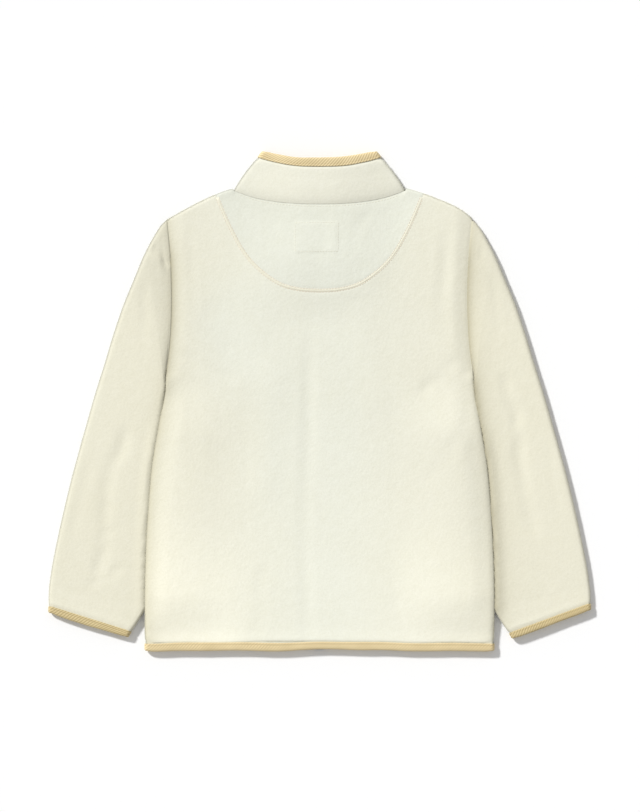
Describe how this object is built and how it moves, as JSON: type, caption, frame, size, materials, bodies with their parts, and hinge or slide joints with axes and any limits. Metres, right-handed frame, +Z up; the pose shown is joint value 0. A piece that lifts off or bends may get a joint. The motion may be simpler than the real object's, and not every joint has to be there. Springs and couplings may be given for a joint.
{
  "type": "fleece jacket",
  "caption": "Child's zip-up fleece jacket with a stand collar and set-in half-moon at the back neck, edges bound in twill tape, laid flat with its back up",
  "frame": {"origin": "under the middle of the jacket, on the surface that it lies on", "axes": "+X to the right of the view from above, along the spread of the sleeves, +Y from the hem towards the collar, +Z up from the surface"},
  "size_m": [0.5436, 0.4994, 0.0143],
  "materials": {
    "fleece": "soft napped fleece",
    "half_moon_fleece": "soft napped fleece",
    "sleeve_fleece": "soft napped fleece",
    "binding_twill": "woven twill tape",
    "zip_tape": "woven tape",
    "zip_chain": "satin",
    "zip_metal": "satin"
  },
  "bodies": {
    "garment": {"back": "fleece", "back_half_moon": "half_moon_fleece", "front_left": "fleece", "front_right": "fleece", "collar": "fleece", "collar_binding": "binding_twill", "hem_binding": "binding_twill", "sleeve_left": "sleeve_fleece", "sleeve_right": "sleeve_fleece", "cuff_binding_left": "binding_twill", "cuff_binding_right": "binding_twill", "zip_tape_left": "zip_tape", "zip_tape_right": "zip_tape", "zip_chain": "zip_chain", "zip_box": "zip_metal", "zip_slider": "zip_metal"},
    "pull_tab": {"zip_pull_tab": "zip_metal"}
  },
  "joints": [
    {"name": "pull_tab_hinge", "type": "hinge", "parent": "garment", "child": "pull_tab", "pos_m": [0, 0.195, 0.0019], "axis": [1, 0, 0], "range_deg": [0, 175]}
  ]
}
